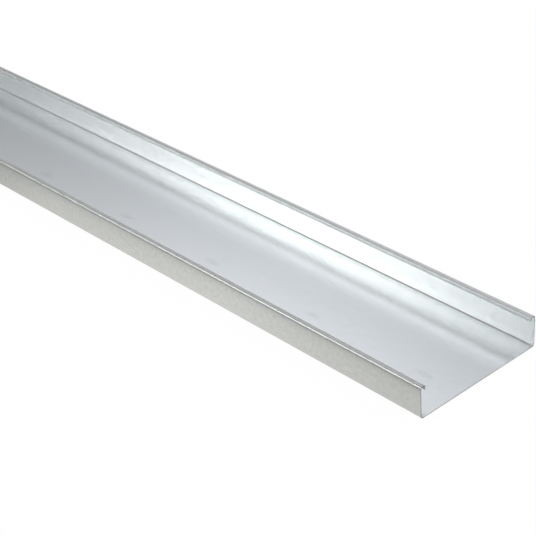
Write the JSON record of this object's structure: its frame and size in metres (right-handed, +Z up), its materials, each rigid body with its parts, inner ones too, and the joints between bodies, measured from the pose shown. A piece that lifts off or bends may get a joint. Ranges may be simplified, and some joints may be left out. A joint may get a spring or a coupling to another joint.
{
  "type": "solid cable tray",
  "caption": "Straight length of solid-bottom steel cable tray: a folded channel with plain sides and inward rims that slope a little and are turned down at their inner edges, open at both ends.",
  "frame": {"origin": "under the middle of the base, on the plane that the tray rests on", "axes": "+X along the tray's length, +Y across its width, +Z up through the open top"},
  "size_m": [2, 0.225, 0.05],
  "materials": {
    "galvanised_steel": "satin pre-galvanised sheet with a faint rolled grain"
  },
  "bodies": {
    "root": {"cable_tray": "galvanised_steel"}
  },
  "joints": []
}
